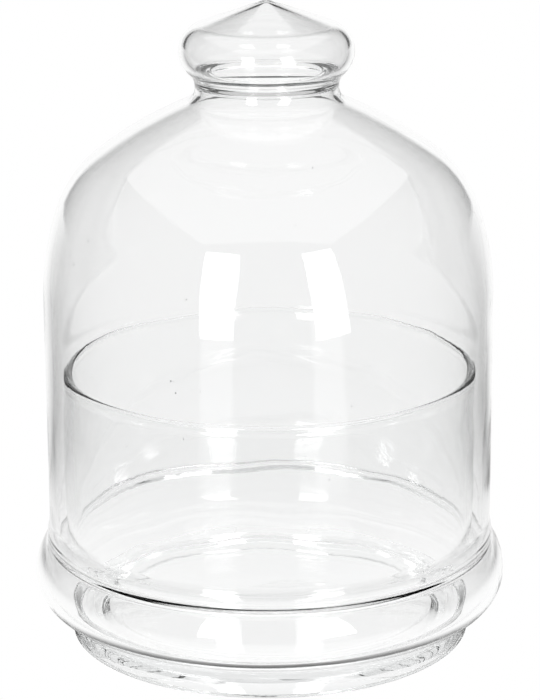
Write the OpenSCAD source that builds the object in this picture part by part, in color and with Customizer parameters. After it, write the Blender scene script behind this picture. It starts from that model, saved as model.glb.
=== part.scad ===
// Bell jar: a one-piece blown glass dome with a hollow knob, and the collared
// glass base that it stands on.
// Both pieces are bodies of revolution about Z. Z = 0 is the plane that the foot
// stands on, and heights are measured from it with the dome in place. Each
// profile is a closed path of straight lines and arcs that run tangent into each
// other; centres and tangent points are worked out below from the dimensions.

/* [Dome] */
// Outside diameter of the dome's straight wall
dome_d = 105; // [104.6:0.1:105.6]
// Wall thickness of the dome
dome_wall = 1.8; // [1.5:0.1:2]
// How far the rim turns outwards at its bottom edge
rim_flare = 0.5; // [0.3:0.1:0.6]
// Height at which the straight wall ends and the shoulder starts
shoulder_z = 82.4; // [72:0.2:92]
// Radius of the shoulder's lowest part
shoulder_r1 = 63; // [60:1:66]
// Angle that the shoulder's lowest part turns through
shoulder_a1 = 19; // [18:0.5:20]
// Radius of the shoulder's tightest part
shoulder_r2 = 27.3; // [26.5:0.1:28]
// Angle from level at which the tightest part ends
shoulder_a2 = 52.6; // [51.5:0.1:53.5]
// Radius of the shoulder's flattest part, up to the neck
shoulder_r3 = 96; // [92:1:100]

/* [Neck and knob] */
// Outside diameter of the neck's waist
neck_d = 33.2; // [32.6:0.1:33.8]
// Blend radius between shoulder and waist
neck_r = 3.2; // [2.8:0.1:3.6]
// Diameter of the passage from the dome into the hollow knob
passage_d = 25.6; // [24.6:0.1:25.8]
// Length of the waist's straight part
waist_h = 0.5; // [0.3:0.1:1.5]
// Largest diameter of the knob
knob_d = 40.4; // [40:0.1:41]
// Radius of the knob's rounded side
knob_side_r = 6.7; // [6.5:0.1:6.9]
// Blend radius between waist and knob
crease_r = 4; // [3:0.1:4.2]
// Slope of the conical top of the knob, in degrees
knob_cone = 19; // [17:0.1:21]
// Radius of the knob's blunt point
tip_r = 1.8; // [1.4:0.1:2.2]
// Wall thickness of the hollow knob
knob_wall = 1.5; // [1.3:0.1:1.8]

/* [Base] */
// Diameter of the foot
foot_d = 94.8; // [94:0.1:95.2]
// Height of the foot's straight side
foot_h = 6.6; // [6.2:0.1:6.8]
// Largest diameter of the bulge, which is the width of the whole object
bulge_d = 112; // [111.4:0.1:112.6]
// Height of the bulge's widest line
bulge_z = 14.8; // [14.7:0.1:15.1]
// Radius of the bulge below its widest line
bulge_low_r = 7.5; // [7.2:0.1:7.6]
// Radius of the bulge above its widest line
bulge_high_r = 13; // [12.6:0.1:14]
// Height of the ledge that carries the dome's rim
ledge_z = 23.5; // [23.2:0.1:23.8]
// Outside diameter of the collar inside the dome
collar_d = 96.8; // [96.4:0.1:97.2]
// Height of the collar's rim
collar_z = 64.9; // [50:0.1:78]
// Wall thickness of the base
base_wall = 1.8; // [1.6:0.1:2]
// Radius of the collar's thickened rim
bead_r = 1.15; // [1.05:0.05:1.2]
// Height of the inside floor
floor_z = 6; // [5.6:0.1:6.3]
// Radius of the blend from the floor into the sloping sides
floor_blend = 20; // [15:1:25]
// Depth of the hollow under the floor
kick = 1.5; // [1:0.1:2]

/* [Fit] */
// Gap between the dome's round rim and the ledge under it
seat_gap = 0.1; // [0.1:0.05:0.3]

/* [Hidden] */
$fn = 180;

// points on an arc of radius r about c, from angle a to angle b
function arc(c, r, a, b, n = 8) =
    [for (i = [0:n]) let (t = a + (b - a) * i / n) [c[0] + r * cos(t), c[1] + r * sin(t)]];
function dir(a) = [cos(a), sin(a)];
function heading(p, q) = atan2(q[1] - p[1], q[0] - p[0]);
function rev(p) = [for (i = [len(p) - 1:-1:0]) p[i]];

// centre of a circle of radius f that touches the upright line at x from the side
// of larger x, and the circle (c, R) from outside; up = 1 above it, -1 below it
function beside(c, R, x, f, up) =
    [x + f, c[1] + up * sqrt(pow(R + f, 2) - pow(x + f - c[0], 2))];

// slides sideways by d between heights z0 and z1, from x + d to x, without a kink
function ease(x, d, z0, z1, n = 6) =
    [for (i = [1:n]) let (t = i / n) [x + d * (1 + cos(180 * t)) / 2, z0 + (z1 - z0) * t]];

// normal angle at which the line from p touches the circle (c, r) from below
function touch(p, c, r) = heading(p, c) - asin(r / norm(c - p)) - 90;

// the knob's top for a side arc of radius r about c: a cone tangent to the arc
// that ends in a round point of radius t on the axis
function knob_top(c, r, t, n = 6) =
    let (e = c + r * dir(90 - knob_cone),
         z = e[1] + e[0] * tan(knob_cone) - t / cos(knob_cone))
    [for (i = [0:n]) let (a = 90 - knob_cone * (1 - i / n)) [i == n ? 0 : t * cos(a), z + t * sin(a)]];

// ---- dome ----
Ro = dome_d / 2;
Ri = Ro - dome_wall;
rim_r = dome_wall / 2;
rim_c = [Ro - rim_r + rim_flare, ledge_z + seat_gap + rim_r];
rim_run = 4;

// centres of the shoulder's three arcs; the inside of the dome shares them
s1 = [Ro - shoulder_r1, shoulder_z];
s2 = s1 + (shoulder_r1 - shoulder_r2) * dir(shoulder_a1);
s3 = s2 + (shoulder_r2 - shoulder_r3) * dir(shoulder_a2);
function shoulder(w, end) = concat(
    arc(s1, shoulder_r1 - w, 0, shoulder_a1, 7),
    arc(s2, shoulder_r2 - w, shoulder_a1 + 3, shoulder_a2, 10),
    arc(s3, shoulder_r3 - w, shoulder_a2 + 3, end, 8));

nr = neck_d / 2;
pr = passage_d / 2;
bore = nr - dome_wall;
ki = knob_side_r - knob_wall;
neck_c = beside(s3, shoulder_r3, nr, neck_r, 1);
crease_c = [nr + crease_r, neck_c[1] + waist_h];
kx = knob_d / 2 - knob_side_r;
kc = [kx, crease_c[1] + sqrt(pow(knob_side_r + crease_r, 2) - pow(crease_c[0] - kx, 2))];

// the passage is as wide as the neck allows at its lower end, and narrows to a
// rounded sill under the knob's hollow
sill_r = kx - pr;
sill_z = kc[1] - ki - sill_r;

dome_outside = concat(
    arc(rim_c, rim_r, -90, 0, 6),
    ease(Ro, rim_flare, rim_c[1], rim_c[1] + rim_run),
    shoulder(0, heading(s3, neck_c)),
    rev(arc(neck_c, neck_r, 180, 180 + heading(s3, neck_c) - 6, 6)),
    arc(crease_c, crease_r, 180, heading(crease_c, kc), 7),
    arc(kc, knob_side_r, heading(kc, crease_c) + 6, 90 - knob_cone - 4, 17),
    knob_top(kc, knob_side_r, tip_r));

dome_inside = concat(
    arc(rim_c, rim_r, -100, -180, 5),
    ease(Ri, rim_flare, rim_c[1], rim_c[1] + rim_run),
    shoulder(dome_wall, heading(s3, neck_c)),
    rev(arc(neck_c, neck_r + dome_wall, 180, 180 + heading(s3, neck_c) - 6, 7)),
    ease(pr, bore - pr, neck_c[1], sill_z),
    arc([kx, sill_z], sill_r, 170, 100, 4),
    arc(kc, ki, -90, 90 - knob_cone - 4, 17),
    knob_top(kc, ki, tip_r));

// ---- base ----
fr = foot_d / 2;
co = collar_d / 2;
low_c = [bulge_d / 2 - bulge_low_r, bulge_z];
high_c = [bulge_d / 2 - bulge_high_r, bulge_z];
bead_c = [co - base_wall / 2, collar_z - bead_r];
swell = bead_r - base_wall / 2;
swell_h = 1.6;
root_c = [co + 1.5, ledge_z + 1.5];
foot_edge = 0.4;
under_a = touch([fr, foot_h], low_c, bulge_low_r);

// centre of the rounding of radius r between the bulge's upper arc of radius R
// and the level line at height z
function ledge_corner(R, r, z) =
    [high_c[0] + sqrt(pow(R - r, 2) - pow(z - r - bulge_z, 2)), z - r];
edge_r = 1.2;
edge_c = ledge_corner(bulge_high_r, edge_r, ledge_z);

base_outside = concat(
    [[0, kick], [fr - 8.2, kick], [fr - 3.4, 0]],
    arc([fr - foot_edge, foot_edge], foot_edge, -90, 0, 4),
    [[fr, foot_h]],
    arc(low_c, bulge_low_r, under_a, 0, 11),
    arc(high_c, bulge_high_r, 3, heading(high_c, edge_c), 8),
    arc(edge_c, edge_r, heading(high_c, edge_c) + 9, 90, 5),
    rev(arc(root_c, 1.5, 180, 270, 6)),
    [[co, bead_c[1] - swell_h]],
    ease(co + swell, -swell, bead_c[1] - swell_h, bead_c[1]),
    arc(bead_c, bead_r, 9, 90, 9));

// the inside follows the outside at the wall thickness, and rounds into the floor
in_low = bulge_low_r - base_wall;
in_high = bulge_high_r - base_wall;
in_edge = ledge_corner(in_high, 1.5, ledge_z - base_wall);
slope = under_a + 90;
side_p = low_c + in_low * dir(under_a);
pan_c = [side_p[0] - (side_p[1] - floor_z) / tan(slope) - floor_blend * tan(slope / 2), floor_z + floor_blend];

base_inside = concat(
    arc(bead_c, bead_r, 100, 180, 8),
    ease(co - base_wall, -swell, bead_c[1], bead_c[1] - swell_h),
    arc(root_c, 1.5 + base_wall, 180, 270, 8),
    arc(in_edge, 1.5, 90, heading(high_c, in_edge), 6),
    rev(arc(high_c, in_high, 3, heading(high_c, in_edge) - 4, 7)),
    rev(arc(low_c, in_low, under_a, 0, 11)),
    arc(pan_c, floor_blend, slope - 90, -90, 6),
    [[0, floor_z]]);

// The dome: straight wall, round shoulder, neck and hollow knob, all one glass.
module dome() {
    color([0.80, 0.88, 0.90, 0.45])
    rotate_extrude()
        polygon(concat(dome_outside, rev(dome_inside)));
}

// The base: foot, bulge, ledge and collar, all one glass.
module base() {
    color([0.72, 0.82, 0.85, 0.60])
    rotate_extrude()
        polygon(concat(base_outside, base_inside));
}

dome();
base();
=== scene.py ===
import math
import random

import bpy
from mathutils import Matrix, Vector


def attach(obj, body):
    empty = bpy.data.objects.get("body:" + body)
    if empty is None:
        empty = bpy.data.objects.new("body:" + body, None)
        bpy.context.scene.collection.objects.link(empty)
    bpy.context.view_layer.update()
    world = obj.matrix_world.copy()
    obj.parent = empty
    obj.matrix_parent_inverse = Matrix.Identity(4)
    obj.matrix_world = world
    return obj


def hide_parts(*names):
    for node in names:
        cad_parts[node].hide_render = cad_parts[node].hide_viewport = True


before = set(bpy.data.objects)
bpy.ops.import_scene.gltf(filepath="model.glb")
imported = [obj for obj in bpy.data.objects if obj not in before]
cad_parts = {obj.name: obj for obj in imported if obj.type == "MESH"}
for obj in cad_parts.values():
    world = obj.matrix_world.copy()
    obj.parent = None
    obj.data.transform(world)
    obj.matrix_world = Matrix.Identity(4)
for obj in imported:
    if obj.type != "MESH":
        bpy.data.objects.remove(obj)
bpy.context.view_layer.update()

scene = bpy.context.scene

# ------------------------------------------------------------------ profiles
# Millimetres, radius and height. They follow part.scad's arcs, drawn finer.


def arc(c, r, a, b, n):
    return [
        (c[0] + r * math.cos(math.radians(a + (b - a) * i / n)),
         c[1] + r * math.sin(math.radians(a + (b - a) * i / n)))
        for i in range(n + 1)
    ]


def heading(p, q):
    return math.degrees(math.atan2(q[1] - p[1], q[0] - p[0]))


def beside(c, big, x, f, up):
    return (x + f, c[1] + up * math.sqrt((big + f) ** 2 - (x + f - c[0]) ** 2))


def ease(x, d, z0, z1, n):
    return [
        (x + d * (1 + math.cos(math.pi * i / n)) / 2, z0 + (z1 - z0) * i / n)
        for i in range(1, n + 1)
    ]


def along(p, q, n):
    return [(p[0] + (q[0] - p[0]) * i / n, p[1] + (q[1] - p[1]) * i / n) for i in range(n + 1)]


def joined(*runs):
    """One path from several, without doubled points."""
    path = []
    for run in runs:
        for p in run:
            if not path or math.dist(p, path[-1]) > 0.004:
                path.append(p)
    return path


LEDGE = 23.5
R, WALL = 52.5, 1.8
NR, NECK_R, CREASE_R, WAIST = 16.6, 3.2, 4.0, 0.5
S1R, S2R, S3R, A1, A2 = 63.0, 27.3, 96.0, 19.0, 52.6
S1 = (R - S1R, 82.4)
S2 = (S1[0] + (S1R - S2R) * math.cos(math.radians(A1)), S1[1] + (S1R - S2R) * math.sin(math.radians(A1)))
S3 = (S2[0] + (S2R - S3R) * math.cos(math.radians(A2)), S2[1] + (S2R - S3R) * math.sin(math.radians(A2)))
NECK_C = beside(S3, S3R, NR, NECK_R, 1)
CREASE_C = (NR + CREASE_R, NECK_C[1] + WAIST)
KR, CONE, TIP = 6.7, 19.0, 1.8
KX = 20.2 - KR
KC = (KX, CREASE_C[1] + math.sqrt((KR + CREASE_R) ** 2 - (CREASE_C[0] - KX) ** 2))


def knob_top(r, t, n):
    e = (KC[0] + r * math.cos(math.radians(90 - CONE)), KC[1] + r * math.sin(math.radians(90 - CONE)))
    z = e[1] + e[0] * math.tan(math.radians(CONE)) - t / math.cos(math.radians(CONE))
    tip = [
        (t * math.cos(math.radians(90 - CONE * (1 - i / n))) if i < n else 0.0,
         z + t * math.sin(math.radians(90 - CONE * (1 - i / n))))
        for i in range(n + 1)
    ]
    return along(e, tip[0], 14)[1:-1] + tip


def shoulder(w):
    return joined(
        arc(S1, S1R - w, 0, A1, 26),
        arc(S2, S2R - w, A1, A2, 30),
        arc(S3, S3R - w, A2, heading(S3, NECK_C), 36),
    )


def dome_path(knob_wall=1.5, passage=12.8):
    rim_r = WALL / 2
    rim_c = (R - rim_r + 0.5, LEDGE + 0.1 + rim_r)
    outside = joined(
        arc(rim_c, rim_r, -90, 0, 12),
        ease(R, 0.5, rim_c[1], rim_c[1] + 4, 14),
        along((R, rim_c[1] + 4), (R, S1[1]), 40),
        shoulder(0),
        arc(NECK_C, NECK_R, 180 + heading(S3, NECK_C), 180, 20),
        arc(CREASE_C, CREASE_R, 180, heading(CREASE_C, KC), 18),
        arc(KC, KR, heading(KC, CREASE_C), 90 - CONE, 48),
        knob_top(KR, TIP, 10),
    )
    ri, ki = R - WALL, KR - knob_wall
    bore = NECK_C[0] - NECK_R - WALL
    sill = KX - passage
    sill_z = KC[1] - ki - sill
    rise = sill_z - NECK_C[1]
    inside = joined(
        arc(rim_c, rim_r, -90, -180, 12),
        ease(ri, 0.5, rim_c[1], rim_c[1] + 4, 14),
        along((ri, rim_c[1] + 4), (ri, S1[1]), 40),
        shoulder(WALL),
        arc(NECK_C, NECK_R + WALL, 180 + heading(S3, NECK_C), 180, 24),
        [(passage + (bore - passage) * (1 + math.cos(math.pi * i / 14)) / 2, NECK_C[1] + rise * i / 14) for i in range(1, 15)],
        arc((KX, sill_z), sill, 180, 90, 10),
        arc(KC, ki, -90, 90 - CONE, 44),
        knob_top(ki, TIP, 10),
    )
    return outside, inside


FR, FOOT_H = 47.4, 6.6
BZ, LOW_R, HIGH_R, BULGE = 14.8, 7.5, 13.0, 56.0
LOW_C, HIGH_C = (BULGE - LOW_R, BZ), (BULGE - HIGH_R, BZ)
CO, BWALL, COLLAR_Z = 48.4, 1.8, 64.9


def ledge_corner(big, r, z):
    return (HIGH_C[0] + math.sqrt((big - r) ** 2 - (z - r - BZ) ** 2), z - r)


def base_path(floor=6.0, kick=1.5, fillet=20.0):
    d = math.dist((FR, FOOT_H), LOW_C)
    under = heading((FR, FOOT_H), LOW_C) - math.degrees(math.asin(LOW_R / d)) - 90
    touch = arc(LOW_C, LOW_R, under, 0, 30)
    edge = ledge_corner(HIGH_R, 1.2, LEDGE)
    root = (CO + 1.5, LEDGE + 1.5)
    br = 1.15
    bead = (CO - BWALL / 2, COLLAR_Z - br)
    dip = 1.6
    outside = joined(
        along((0, kick), (FR - 8.2, kick), 16),
        [(FR - 5.8 - 2.4 * math.cos(math.pi * i / 16), kick * (1 + math.cos(math.pi * i / 16)) / 2) for i in range(17)],
        along((FR - 3.4, 0), (FR - 0.4, 0), 4),
        arc((FR - 0.4, 0.4), 0.4, -90, 0, 10),
        along((FR, 0.4), (FR, FOOT_H - 0.4), 10),
        [(FR + 0.05, FOOT_H - 0.12), (FR + 0.2, FOOT_H + 0.03)],
        along((FR + 0.45, FOOT_H + 0.45 * math.tan(math.radians(under + 90))), touch[0], 8),
        touch,
        arc(HIGH_C, HIGH_R, 0, heading(HIGH_C, edge), 26),
        arc(edge, 1.2, heading(HIGH_C, edge), 90, 10),
        along((edge[0], LEDGE), (root[0], LEDGE), 5),
        arc(root, 1.5, 270, 180, 14),
        along((CO, root[1]), (CO, bead[1] - dip), 40),
        [(CO + (br - BWALL / 2) * (1 - math.cos(math.pi * i / 12)) / 2, bead[1] - dip + dip * i / 12) for i in range(1, 13)],
        arc(bead, br, 0, 90, 16),
    )
    low, high = LOW_R - BWALL, HIGH_R - BWALL
    in_edge = ledge_corner(high, 1.5, LEDGE - BWALL)
    slope = under + 90
    turn = math.tan(math.radians(slope))
    sp = (LOW_C[0] + low * math.cos(math.radians(under)), LOW_C[1] + low * math.sin(math.radians(under)))
    pan = (sp[0] - (sp[1] - floor) / turn - fillet * math.tan(math.radians(slope / 2)), floor + fillet)
    inside = joined(
        arc(bead, br, 90, 180, 16),
        [(CO - BWALL - (br - BWALL / 2) * (1 + math.cos(math.pi * i / 12)) / 2, bead[1] - dip * i / 12) for i in range(1, 13)],
        along((CO - BWALL, bead[1] - dip), (CO - BWALL, root[1]), 40),
        arc(root, 1.5 + BWALL, 180, 270, 18),
        arc(in_edge, 1.5, 90, heading(HIGH_C, in_edge), 12),
        arc(HIGH_C, high, heading(HIGH_C, in_edge), 0, 20),
        arc(LOW_C, low, 0, under, 28),
        arc(pan, fillet, slope - 90, -90, 16),
        along((pan[0], floor), (0, floor), 20),
    )
    return outside, inside


# ------------------------------------------------------------------ meshes
def volume(verts, faces):
    total = 0.0
    for f in faces:
        a = Vector(verts[f[0]])
        for i in range(1, len(f) - 1):
            total += a.dot(Vector(verts[f[i]]).cross(Vector(verts[f[i + 1]])))
    return total


def bubble(verts, faces, place, size, stretch, n=10, m=7):
    """A small air bubble: a closed skin that faces into the bubble."""
    start = len(verts)
    x, y, z = place
    for j in range(1, m):
        t = math.pi * j / m
        for k in range(n):
            a = 2 * math.pi * k / n
            verts.append(((x + size * math.sin(t) * math.cos(a)) / 1000, (y + size * math.sin(t) * math.sin(a)) / 1000,
                          (z + stretch * size * math.cos(t)) / 1000))
    top, low = len(verts), len(verts) + 1
    verts += [(x / 1000, y / 1000, (z + stretch * size) / 1000), (x / 1000, y / 1000, (z - stretch * size) / 1000)]
    for k in range(n):
        q = (k + 1) % n
        faces.append((top, start + q, start + k))
        for j in range(m - 2):
            u, v = start + j * n, start + (j + 1) * n
            faces.append((u + k, u + q, v + q, v + k))
        faces.append((low, start + (m - 2) * n + k, start + (m - 2) * n + q))


def lathe(name, path, segments, bend=None, seeds=()):
    """A closed body of revolution from one path that starts and ends on the axis or closes on itself.
    bend(r, z, angle, i) moves a point by a small amount, as hand-blown glass does."""
    verts, faces, rings = [], [], []
    for i, (r, z) in enumerate(path):
        if r < 1e-6:
            rings.append([len(verts)])
            verts.append((0.0, 0.0, z / 1000))
            continue
        ring = []
        for k in range(segments):
            a = 2 * math.pi * k / segments
            rr, zz = bend(r, z, a, i) if bend else (r, z)
            ring.append(len(verts))
            verts.append((rr * math.cos(a) / 1000, rr * math.sin(a) / 1000, zz / 1000))
        rings.append(ring)
    closed = len(rings[0]) > 1
    pairs = list(zip(rings[:-1], rings[1:])) + ([(rings[-1], rings[0])] if closed else [])
    for a, b in pairs:
        n = segments
        if len(a) == 1 and len(b) == 1:
            continue
        if len(a) == 1:
            faces += [(a[0], b[k], b[(k + 1) % n]) for k in range(n)]
        elif len(b) == 1:
            faces += [(a[k], b[0], a[(k + 1) % n]) for k in range(n)]
        else:
            faces += [(a[k], b[k], b[(k + 1) % n], a[(k + 1) % n]) for k in range(n)]
    if volume(verts, faces) < 0:
        faces = [f[::-1] for f in faces]
    for place, size, stretch in seeds:
        bubble(verts, faces, place, size, stretch)
    mesh = bpy.data.meshes.new(name)
    mesh.from_pydata(verts, [], faces)
    mesh.update()
    mesh.shade_smooth()
    ob = bpy.data.objects.new(name, mesh)
    scene.collection.objects.link(ob)
    return ob


SEG = 288
out, ins = dome_path()
bo, bi = base_path()


def waves(seed, terms):
    """A smooth wandering over angle and height, from a few seeded sines. About -1 to 1."""
    rnd = random.Random(seed)
    parts = [(rnd.randint(lo, hi), rnd.uniform(-1, 1) * 2 * math.pi / length, rnd.uniform(0, 2 * math.pi), amp)
             for lo, hi, length, amp in terms]
    return lambda a, z: sum(amp * math.sin(n * a + k * z + p) for n, k, p, amp in parts)


LONG = [(1, 3, 70, 0.35), (2, 4, 60, 0.35), (3, 6, 45, 0.3)]
FINE = [(7, 12, 22, 0.3), (9, 16, 16, 0.3), (4, 9, 12, 0.25), (0, 2, 9, 0.15)]


def blown(seed, low, high, long_amp, fine_amp, split):
    """A bend for lathe: the outside (points before split, counted along the path) and the inside wander apart."""
    skins = [(waves(seed + k, LONG), waves(seed + 10 + k, FINE)) for k in (0, 1)]

    def bend(r, z, a, i):
        slow, fast = skins[0 if i < split else 1]
        t = max(0.0, min(1.0, (z - low) / 6, (high - z) / 6))
        t *= t * (3 - 2 * t)
        t *= min(1.0, r / 25)
        d = t * (long_amp * slow(a, z) + fine_amp * fast(a, z))
        return r + d, z + 0.35 * d * (1 if r < 46 else 0)

    return bend


def in_wall(radius, z, a):
    return (radius * math.cos(a), radius * math.sin(a), z)


rnd = random.Random(17)
spots = []
for k in range(46):
    z = rnd.uniform(32, 104)
    if z < S1[1]:
        radius = R - WALL / 2
    else:
        w = math.degrees(math.asin(min(1, (z - S1[1]) / (S1R - WALL / 2))))
        if w < A1:
            radius = S1[0] + (S1R - WALL / 2) * math.cos(math.radians(w))
        else:
            w = math.degrees(math.asin(max(0, min(1, (z - S2[1]) / (S2R - WALL / 2)))))
            radius = S2[0] + (S2R - WALL / 2) * math.cos(math.radians(w))
    spots.append((in_wall(radius, z, rnd.uniform(0, 2 * math.pi)), rnd.choice((0.07, 0.09, 0.12, 0.16)), rnd.uniform(1.0, 1.8)))
dome = lathe("glass_dome", out[::-1] + ins[1:], SEG, blown(3, LEDGE + 2, 126.0, 0.10, 0.030, len(out)), spots)
spots = [(in_wall(CO - BWALL / 2, rnd.uniform(28, 60), rnd.uniform(0, 2 * math.pi)), rnd.choice((0.07, 0.09, 0.13)), rnd.uniform(1.0, 1.7))
         for k in range(16)]
spots += [(in_wall(rnd.uniform(4, 36), 3.8, rnd.uniform(0, 2 * math.pi)), rnd.choice((0.08, 0.12, 0.16)), 1.0) for k in range(9)]
base = lathe("glass_base", bo + bi[1:], SEG, blown(41, FOOT_H + 1, COLLAR_Z + 2, 0.08, 0.030, len(bo)), spots)

# ------------------------------------------------------------------ glass
def glass(name, density, tint, seed):
    """Clear soda glass. Slow draw marks bend its skin a little, and a faint film dulls it in patches."""
    mat = bpy.data.materials.new(name)
    mat.use_nodes = True
    nt = mat.node_tree
    p = nt.nodes["Principled BSDF"]
    p.inputs["Transmission Weight"].default_value = 1.0
    p.inputs["IOR"].default_value = 1.5
    tc = nt.nodes.new("ShaderNodeTexCoord")
    place = nt.nodes.new("ShaderNodeMapping")
    place.inputs["Location"].default_value = (seed, 0.37 * seed, 0.0)
    place.inputs["Scale"].default_value = (1.0, 1.0, 0.45)
    nt.links.new(tc.outputs["Object"], place.inputs["Vector"])

    def noise(scale, detail, distortion=0.0):
        n = nt.nodes.new("ShaderNodeTexNoise")
        n.inputs["Scale"].default_value = scale
        n.inputs["Detail"].default_value = detail
        n.inputs["Distortion"].default_value = distortion
        nt.links.new(place.outputs[0], n.inputs["Vector"])
        return n.outputs["Fac"]

    # draw marks
    bump = nt.nodes.new("ShaderNodeBump")
    bump.inputs["Strength"].default_value = 0.25
    bump.inputs["Distance"].default_value = 0.00012
    nt.links.new(noise(95.0, 2.0, 0.6), bump.inputs["Height"])
    nt.links.new(bump.outputs[0], p.inputs["Normal"])
    # film
    film = nt.nodes.new("ShaderNodeMapRange")
    film.interpolation_type = "SMOOTHSTEP"
    for i, v in enumerate((0.52, 0.72, 0.0, 0.03)):
        film.inputs[i + 1].default_value = v
    nt.links.new(noise(42.0, 5.0, 0.2), film.inputs[0])
    nt.links.new(film.outputs[0], p.inputs["Roughness"])
    # a trace of colour that comes and goes with the melt
    melt = nt.nodes.new("ShaderNodeMix")
    melt.data_type = "RGBA"
    melt.inputs[6].default_value = (1.0, 1.0, 1.0, 1)
    melt.inputs[7].default_value = (0.988, 0.991, 0.990, 1)
    nt.links.new(noise(24.0, 3.0), melt.inputs[0])
    nt.links.new(melt.outputs[2], p.inputs["Base Color"])
    vol = nt.nodes.new("ShaderNodeVolumeAbsorption")
    vol.inputs["Color"].default_value = tint
    vol.inputs["Density"].default_value = density
    nt.links.new(vol.outputs[0], nt.nodes["Material Output"].inputs["Volume"])
    return mat


dome.data.materials.append(glass("dome_glass_look", 10.0, (0.485, 0.5, 0.5, 1), 1.3))
base.data.materials.append(glass("base_glass_look", 4.0, (0.48, 0.5, 0.5, 1), 5.1))

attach(dome, "dome")
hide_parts("dome")
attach(base, "base")
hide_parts("base")

# ------------------------------------------------------------------ stage
def emission(name, colour, strength):
    mat = bpy.data.materials.new(name)
    mat.use_nodes = True
    nt = mat.node_tree
    nt.nodes.clear()
    e = nt.nodes.new("ShaderNodeEmission")
    e.inputs[0].default_value = (*colour, 1)
    e.inputs[1].default_value = strength
    o = nt.nodes.new("ShaderNodeOutputMaterial")
    nt.links.new(e.outputs[0], o.inputs[0])
    return mat


def plane(name, corners, mat):
    mesh = bpy.data.meshes.new(name)
    mesh.from_pydata(corners, [], [tuple(range(len(corners)))])
    mesh.materials.append(mat)
    ob = bpy.data.objects.new(name, mesh)
    scene.collection.objects.link(ob)
    return ob


def math_node(nt, op, a, b=None, clamp=False):
    n = nt.nodes.new("ShaderNodeMath")
    n.operation = op
    n.use_clamp = clamp
    for i, v in enumerate((a, b)):
        if v is None:
            continue
        if isinstance(v, (int, float)):
            n.inputs[i].default_value = v
        else:
            nt.links.new(v, n.inputs[i])
    return n.outputs[0]


def ramp_node(nt, value, x0, x1, y0, y1):
    n = nt.nodes.new("ShaderNodeMapRange")
    n.interpolation_type = "SMOOTHSTEP"
    nt.links.new(value, n.inputs[0])
    for i, v in enumerate((x0, x1, y0, y1)):
        n.inputs[i + 1].default_value = v
    return n.outputs[0]


def pick(nt, share, a, b):
    """a where share is 0, b where it is 1."""
    n = nt.nodes.new("ShaderNodeMix")
    for sock, v in ((n.inputs[0], share), (n.inputs[2], a), (n.inputs[3], b)):
        if isinstance(v, (int, float)):
            sock.default_value = v
        else:
            nt.links.new(v, sock)
    return n.outputs[0]


def smooth_band(nt, value, lo, hi):
    """1 below lo, 0 above hi."""
    return ramp_node(nt, value, lo, hi, 1.0, 0.0)


# A light table under the jar, a lit sweep behind it, and a dark room elsewhere. What is seen straight through the glass
# is always the white backdrop. What the glass mirrors is the studio; in the floor it is painted light: a painted pool
# of light round the jar, a painted shadow ring under the bulge and painted reflections of the strips.
ROOM = 0.02
SHEET_X, SHEET_Z = (0.45, 1.4), (0.13, 0.34)      # how far the lit sweep reaches, as x/y and z/y
PAINTED_POOL_FADE = (0.08, 0.22)                            # where the painted pool of light on the table top fades out, metres from the axis
# strength of the painted strip reflections in the floor
PAINTED_REFLECTION_GAIN = 0.7
N = 96
FLOOR_R = 4.0


def sheet(nt, x, y, z):
    """The lit sweep seen in a direction: 1 inside, 0 outside."""
    ahead = math_node(nt, "MAXIMUM", y, 0.001)
    across = math_node(nt, "ABSOLUTE", math_node(nt, "DIVIDE", x, ahead))
    inside = math_node(nt, "MULTIPLY", smooth_band(nt, across, *SHEET_X), math_node(nt, "GREATER_THAN", y, 0.0))
    if z is not None:
        up = math_node(nt, "ADD", math_node(nt, "DIVIDE", z, ahead), math_node(nt, "MULTIPLY", across, 0.45))
        up = math_node(nt, "SUBTRACT", up, math_node(nt, "MULTIPLY", smooth_band(nt, across, 0.25, 0.6), 0.25))
        inside = math_node(nt, "MULTIPLY", inside, smooth_band(nt, up, *SHEET_Z))
    return inside


def mirrored(nt, lp):
    """1 for light that a mirroring or two sent to the eye. Light that only went through, or rattled about, counts as backdrop."""
    once = math_node(nt, "GREATER_THAN", lp.outputs["Glossy Depth"], 0.5)
    few = math_node(nt, "MULTIPLY", smooth_band(nt, lp.outputs["Glossy Depth"], 1.0, 3.0),
                    math_node(nt, "LESS_THAN", lp.outputs["Transmission Depth"], 4.5))
    return math_node(nt, "MULTIPLY", once, few)


floor_mat = emission("floor_white_painted_light", (1, 1, 1), 1.0)
nt = floor_mat.node_tree
e = next(n for n in nt.nodes if n.type == "EMISSION")
lp = nt.nodes.new("ShaderNodeLightPath")
geo = nt.nodes.new("ShaderNodeNewGeometry")
sep = nt.nodes.new("ShaderNodeSeparateXYZ")
nt.links.new(geo.outputs["Position"], sep.inputs[0])
x, y = sep.outputs[0], sep.outputs[1]
away = math_node(nt, "SQRT", math_node(nt, "ADD", math_node(nt, "MULTIPLY", x, x), math_node(nt, "MULTIPLY", y, y)))
# painted pool of light on the table top round the jar, with a painted shadow ring just outside the foot, under the
# bulge; the floor under the foot stays bright
painted_pool_and_shadow = math_node(nt, "MULTIPLY", smooth_band(nt, away, *PAINTED_POOL_FADE), ramp_node(nt, away, 0.048, 0.058, 0.05, 1.0))
painted_pool_and_shadow = math_node(nt, "MAXIMUM", painted_pool_and_shadow, smooth_band(nt, away, 0.044, 0.0475))
# painted reflection of the two strip lamps in the table top, on the camera's side
turn = math_node(nt, "ARCTAN2", x, math_node(nt, "MULTIPLY", y, -1.0))
painted_strip_reflection = math_node(nt, "ADD", *[smooth_band(nt, math_node(nt, "ABSOLUTE", math_node(nt, "SUBTRACT", turn, at)), 0.11, 0.15)
                               for at in (-0.42, 0.49)])
painted_strip_reflection = math_node(nt, "MULTIPLY", math_node(nt, "MULTIPLY", painted_strip_reflection, PAINTED_REFLECTION_GAIN), ramp_node(nt, away, 0.10, 0.30, 0.2, 1.0))
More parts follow.
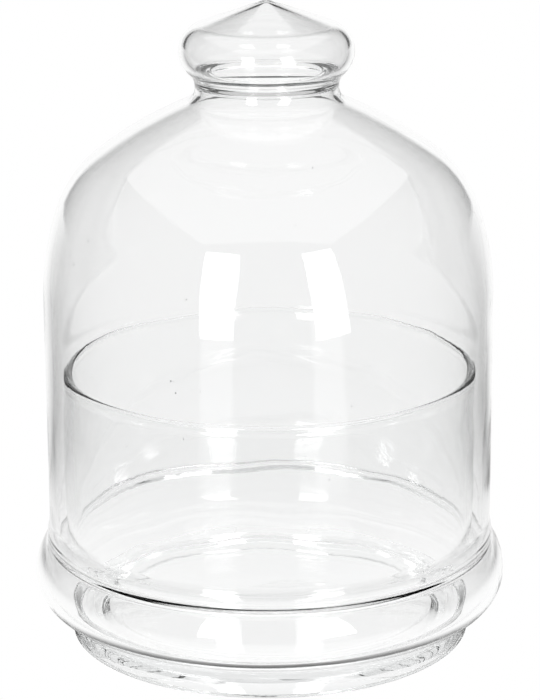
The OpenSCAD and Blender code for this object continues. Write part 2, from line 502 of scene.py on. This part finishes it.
# what the floor shows in reflections: the painted pool, painted shadow ring and painted strip reflections, the lit
# sweep, else the dark room
lit = math_node(nt, "MAXIMUM", math_node(nt, "MAXIMUM", math_node(nt, "MAXIMUM", painted_pool_and_shadow, painted_strip_reflection), sheet(nt, x, y, None)), ROOM)
nt.links.new(pick(nt, mirrored(nt, lp), 1.0, lit), e.inputs[1])
floor = plane("floor", [(FLOOR_R * math.cos(2 * math.pi * k / N), FLOOR_R * math.sin(2 * math.pi * k / N), -0.0003) for k in range(N)], floor_mat)

world = bpy.data.worlds.new("studio")
scene.world = world
world.use_nodes = True
nt = world.node_tree
bg = nt.nodes["Background"]
bg.inputs[0].default_value = (1, 1, 1, 1)
lp = nt.nodes.new("ShaderNodeLightPath")
tc = nt.nodes.new("ShaderNodeTexCoord")
sep = nt.nodes.new("ShaderNodeSeparateXYZ")
nt.links.new(tc.outputs["Generated"], sep.inputs[0])
room = math_node(nt, "MAXIMUM", sheet(nt, sep.outputs[0], sep.outputs[1], sep.outputs[2]), ROOM)
nt.links.new(pick(nt, mirrored(nt, lp), 1.0, room), bg.inputs[1])


def only_mirrored(light):
    """The lamp shows as a reflection in the glass, and not through the glass from behind it."""
    light.use_nodes = True
    nt = light.node_tree
    lp = nt.nodes.new("ShaderNodeLightPath")
    e = next(n for n in nt.nodes if n.type == "EMISSION")
    nt.links.new(math_node(nt, "GREATER_THAN", lp.outputs["Glossy Depth"], 0.5), e.inputs["Strength"])


def strip(name, az, dist, width, z0, z1, radiance, lean=0.0):
    """An upright softbox on the camera's side, az degrees to the right of the view, facing the jar."""
    a = math.radians(az)
    h = z1 - z0
    light = bpy.data.lights.new(name, "AREA")
    light.shape = "RECTANGLE"
    light.size, light.size_y = width, h
    light.energy = radiance * math.pi * width * h
    only_mirrored(light)
    ob = bpy.data.objects.new(name, light)
    scene.collection.objects.link(ob)
    pos = Vector((dist * math.sin(a), -dist * math.cos(a), (z0 + z1) / 2))
    ob.location = pos
    ob.rotation_mode = "QUATERNION"
    ob.rotation_quaternion = Vector((-pos.x, -pos.y, 0)).to_track_quat("-Z", "Y") @ Matrix.Rotation(math.radians(lean), 4, "Z").to_quaternion()
    ob.visible_camera = False
    return ob


strip("strip_left", -24, 0.40, 0.11, 0.02, 0.29, 5.0)
strip("strip_right", 28, 0.40, 0.115, 0.02, 0.30, 5.0, 7.0)

top = bpy.data.lights.new("overhead", "AREA")
top.shape = "RECTANGLE"
top.size, top.size_y = 1.7, 2.0
top.energy = 0.6 * math.pi * 3.4
only_mirrored(top)
top_ob = bpy.data.objects.new("overhead", top)
top_ob.location = (0.0, -0.1, 1.0)
top_ob.visible_camera = False
scene.collection.objects.link(top_ob)

# ------------------------------------------------------------------ camera
PITCH, DIST, AIM, LENS, ROLL, SIDE = 16.5, 0.6579, 0.06812, 143.8, -0.36, 0.00035
cam_data = bpy.data.cameras.new("camera")
cam_data.sensor_width = 36
cam_data.lens = LENS
cam_data.clip_start = 0.01
cam = bpy.data.objects.new("camera", cam_data)
scene.collection.objects.link(cam)
p = math.radians(PITCH)
eye = Vector((SIDE, -DIST * math.cos(p), AIM + DIST * math.sin(p)))
look = Vector((SIDE, 0, AIM)) - eye
cam.rotation_mode = "QUATERNION"
cam.rotation_quaternion = look.to_track_quat("-Z", "Y") @ Matrix.Rotation(math.radians(ROLL), 4, "Z").to_quaternion()
cam.location = eye
scene.camera = cam

scene.view_settings.view_transform = "Standard"
scene.cycles.max_bounces = 40
scene.cycles.transmission_bounces = 40
scene.cycles.glossy_bounces = 20
scene.cycles.transparent_max_bounces = 16
scene.cycles.use_denoising = True
